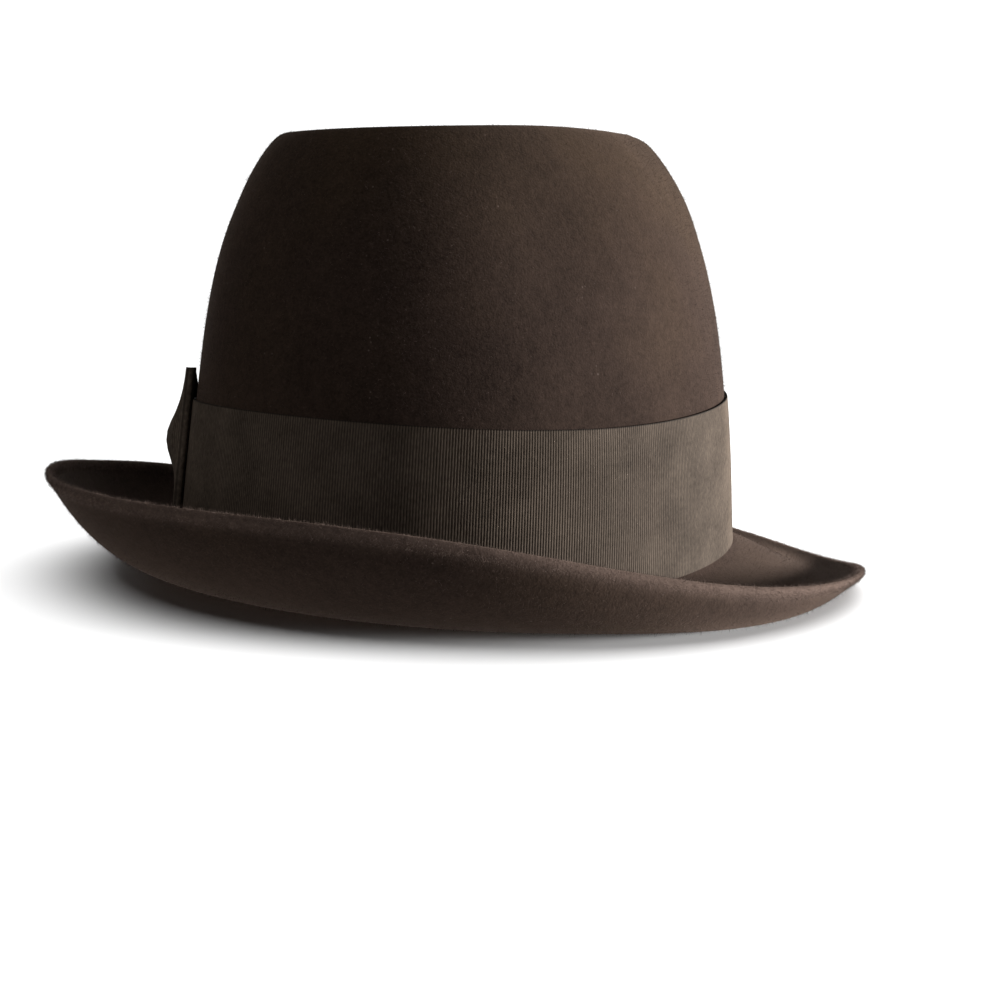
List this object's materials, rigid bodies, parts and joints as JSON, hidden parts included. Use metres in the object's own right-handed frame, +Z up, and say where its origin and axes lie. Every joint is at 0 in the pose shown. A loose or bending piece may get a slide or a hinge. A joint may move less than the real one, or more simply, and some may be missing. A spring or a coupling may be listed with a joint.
{
  "type": "fedora hat",
  "caption": "Felt fedora with a dented crown, a brim turned up behind and snapped down in front, a wide ribbon and a flat bow.",
  "frame": {"origin": "on the table that the hat rests on, below the middle of its outline", "axes": "front of the hat towards -Y, wearer's left towards +X, +Z up out of the crown"},
  "size_m": [0.2678, 0.299, 0.1524],
  "materials": {
    "felt": "dark brown fur felt, matt, with a fine nap",
    "ribbon": "grey-brown grosgrain ribbon, fine upright ribs, faint sheen"
  },
  "bodies": {
    "root": {"felt_body": "felt", "ribbon_band": "ribbon", "bow_front_loop": "ribbon", "bow_back_loop": "ribbon", "bow_knot": "ribbon"}
  },
  "joints": []
}
